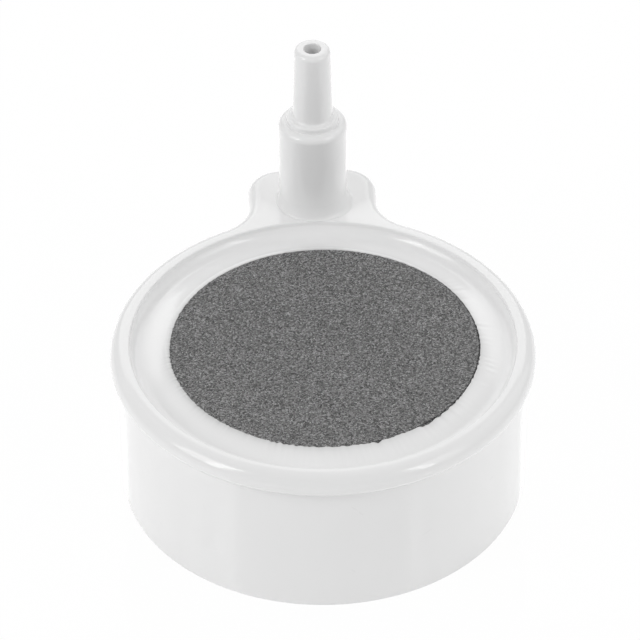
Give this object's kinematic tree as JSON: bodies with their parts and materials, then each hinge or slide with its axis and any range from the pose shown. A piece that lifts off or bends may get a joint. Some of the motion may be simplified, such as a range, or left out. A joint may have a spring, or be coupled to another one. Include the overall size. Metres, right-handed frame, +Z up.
{
  "type": "air stone disc",
  "caption": "Round air stone: a white shell with a sealed-in grey porous disc and a tongue with an upright stepped hose nozzle.",
  "frame": {"origin": "centre of the round skirt on the surface that the air stone stands on", "axes": "+Z up along the nozzle; +Y from the stone's centre to the tongue and nozzle; +X to the right seen with the tongue at the back"},
  "size_m": [0.05, 0.0592, 0.0425],
  "materials": {
    "shell_plastic": "gloss",
    "cover_plastic": "satin",
    "nozzle_plastic": "gloss",
    "adhesive": "gloss",
    "sealant": "gloss",
    "porous_stone": "matte"
  },
  "bodies": {
    "root": {"housing": "shell_plastic", "base_cover": "cover_plastic", "cover_bond": "adhesive", "air_stone": "porous_stone", "stone_seal": "sealant", "nozzle": "nozzle_plastic", "nozzle_bond": "adhesive"}
  },
  "joints": []
}
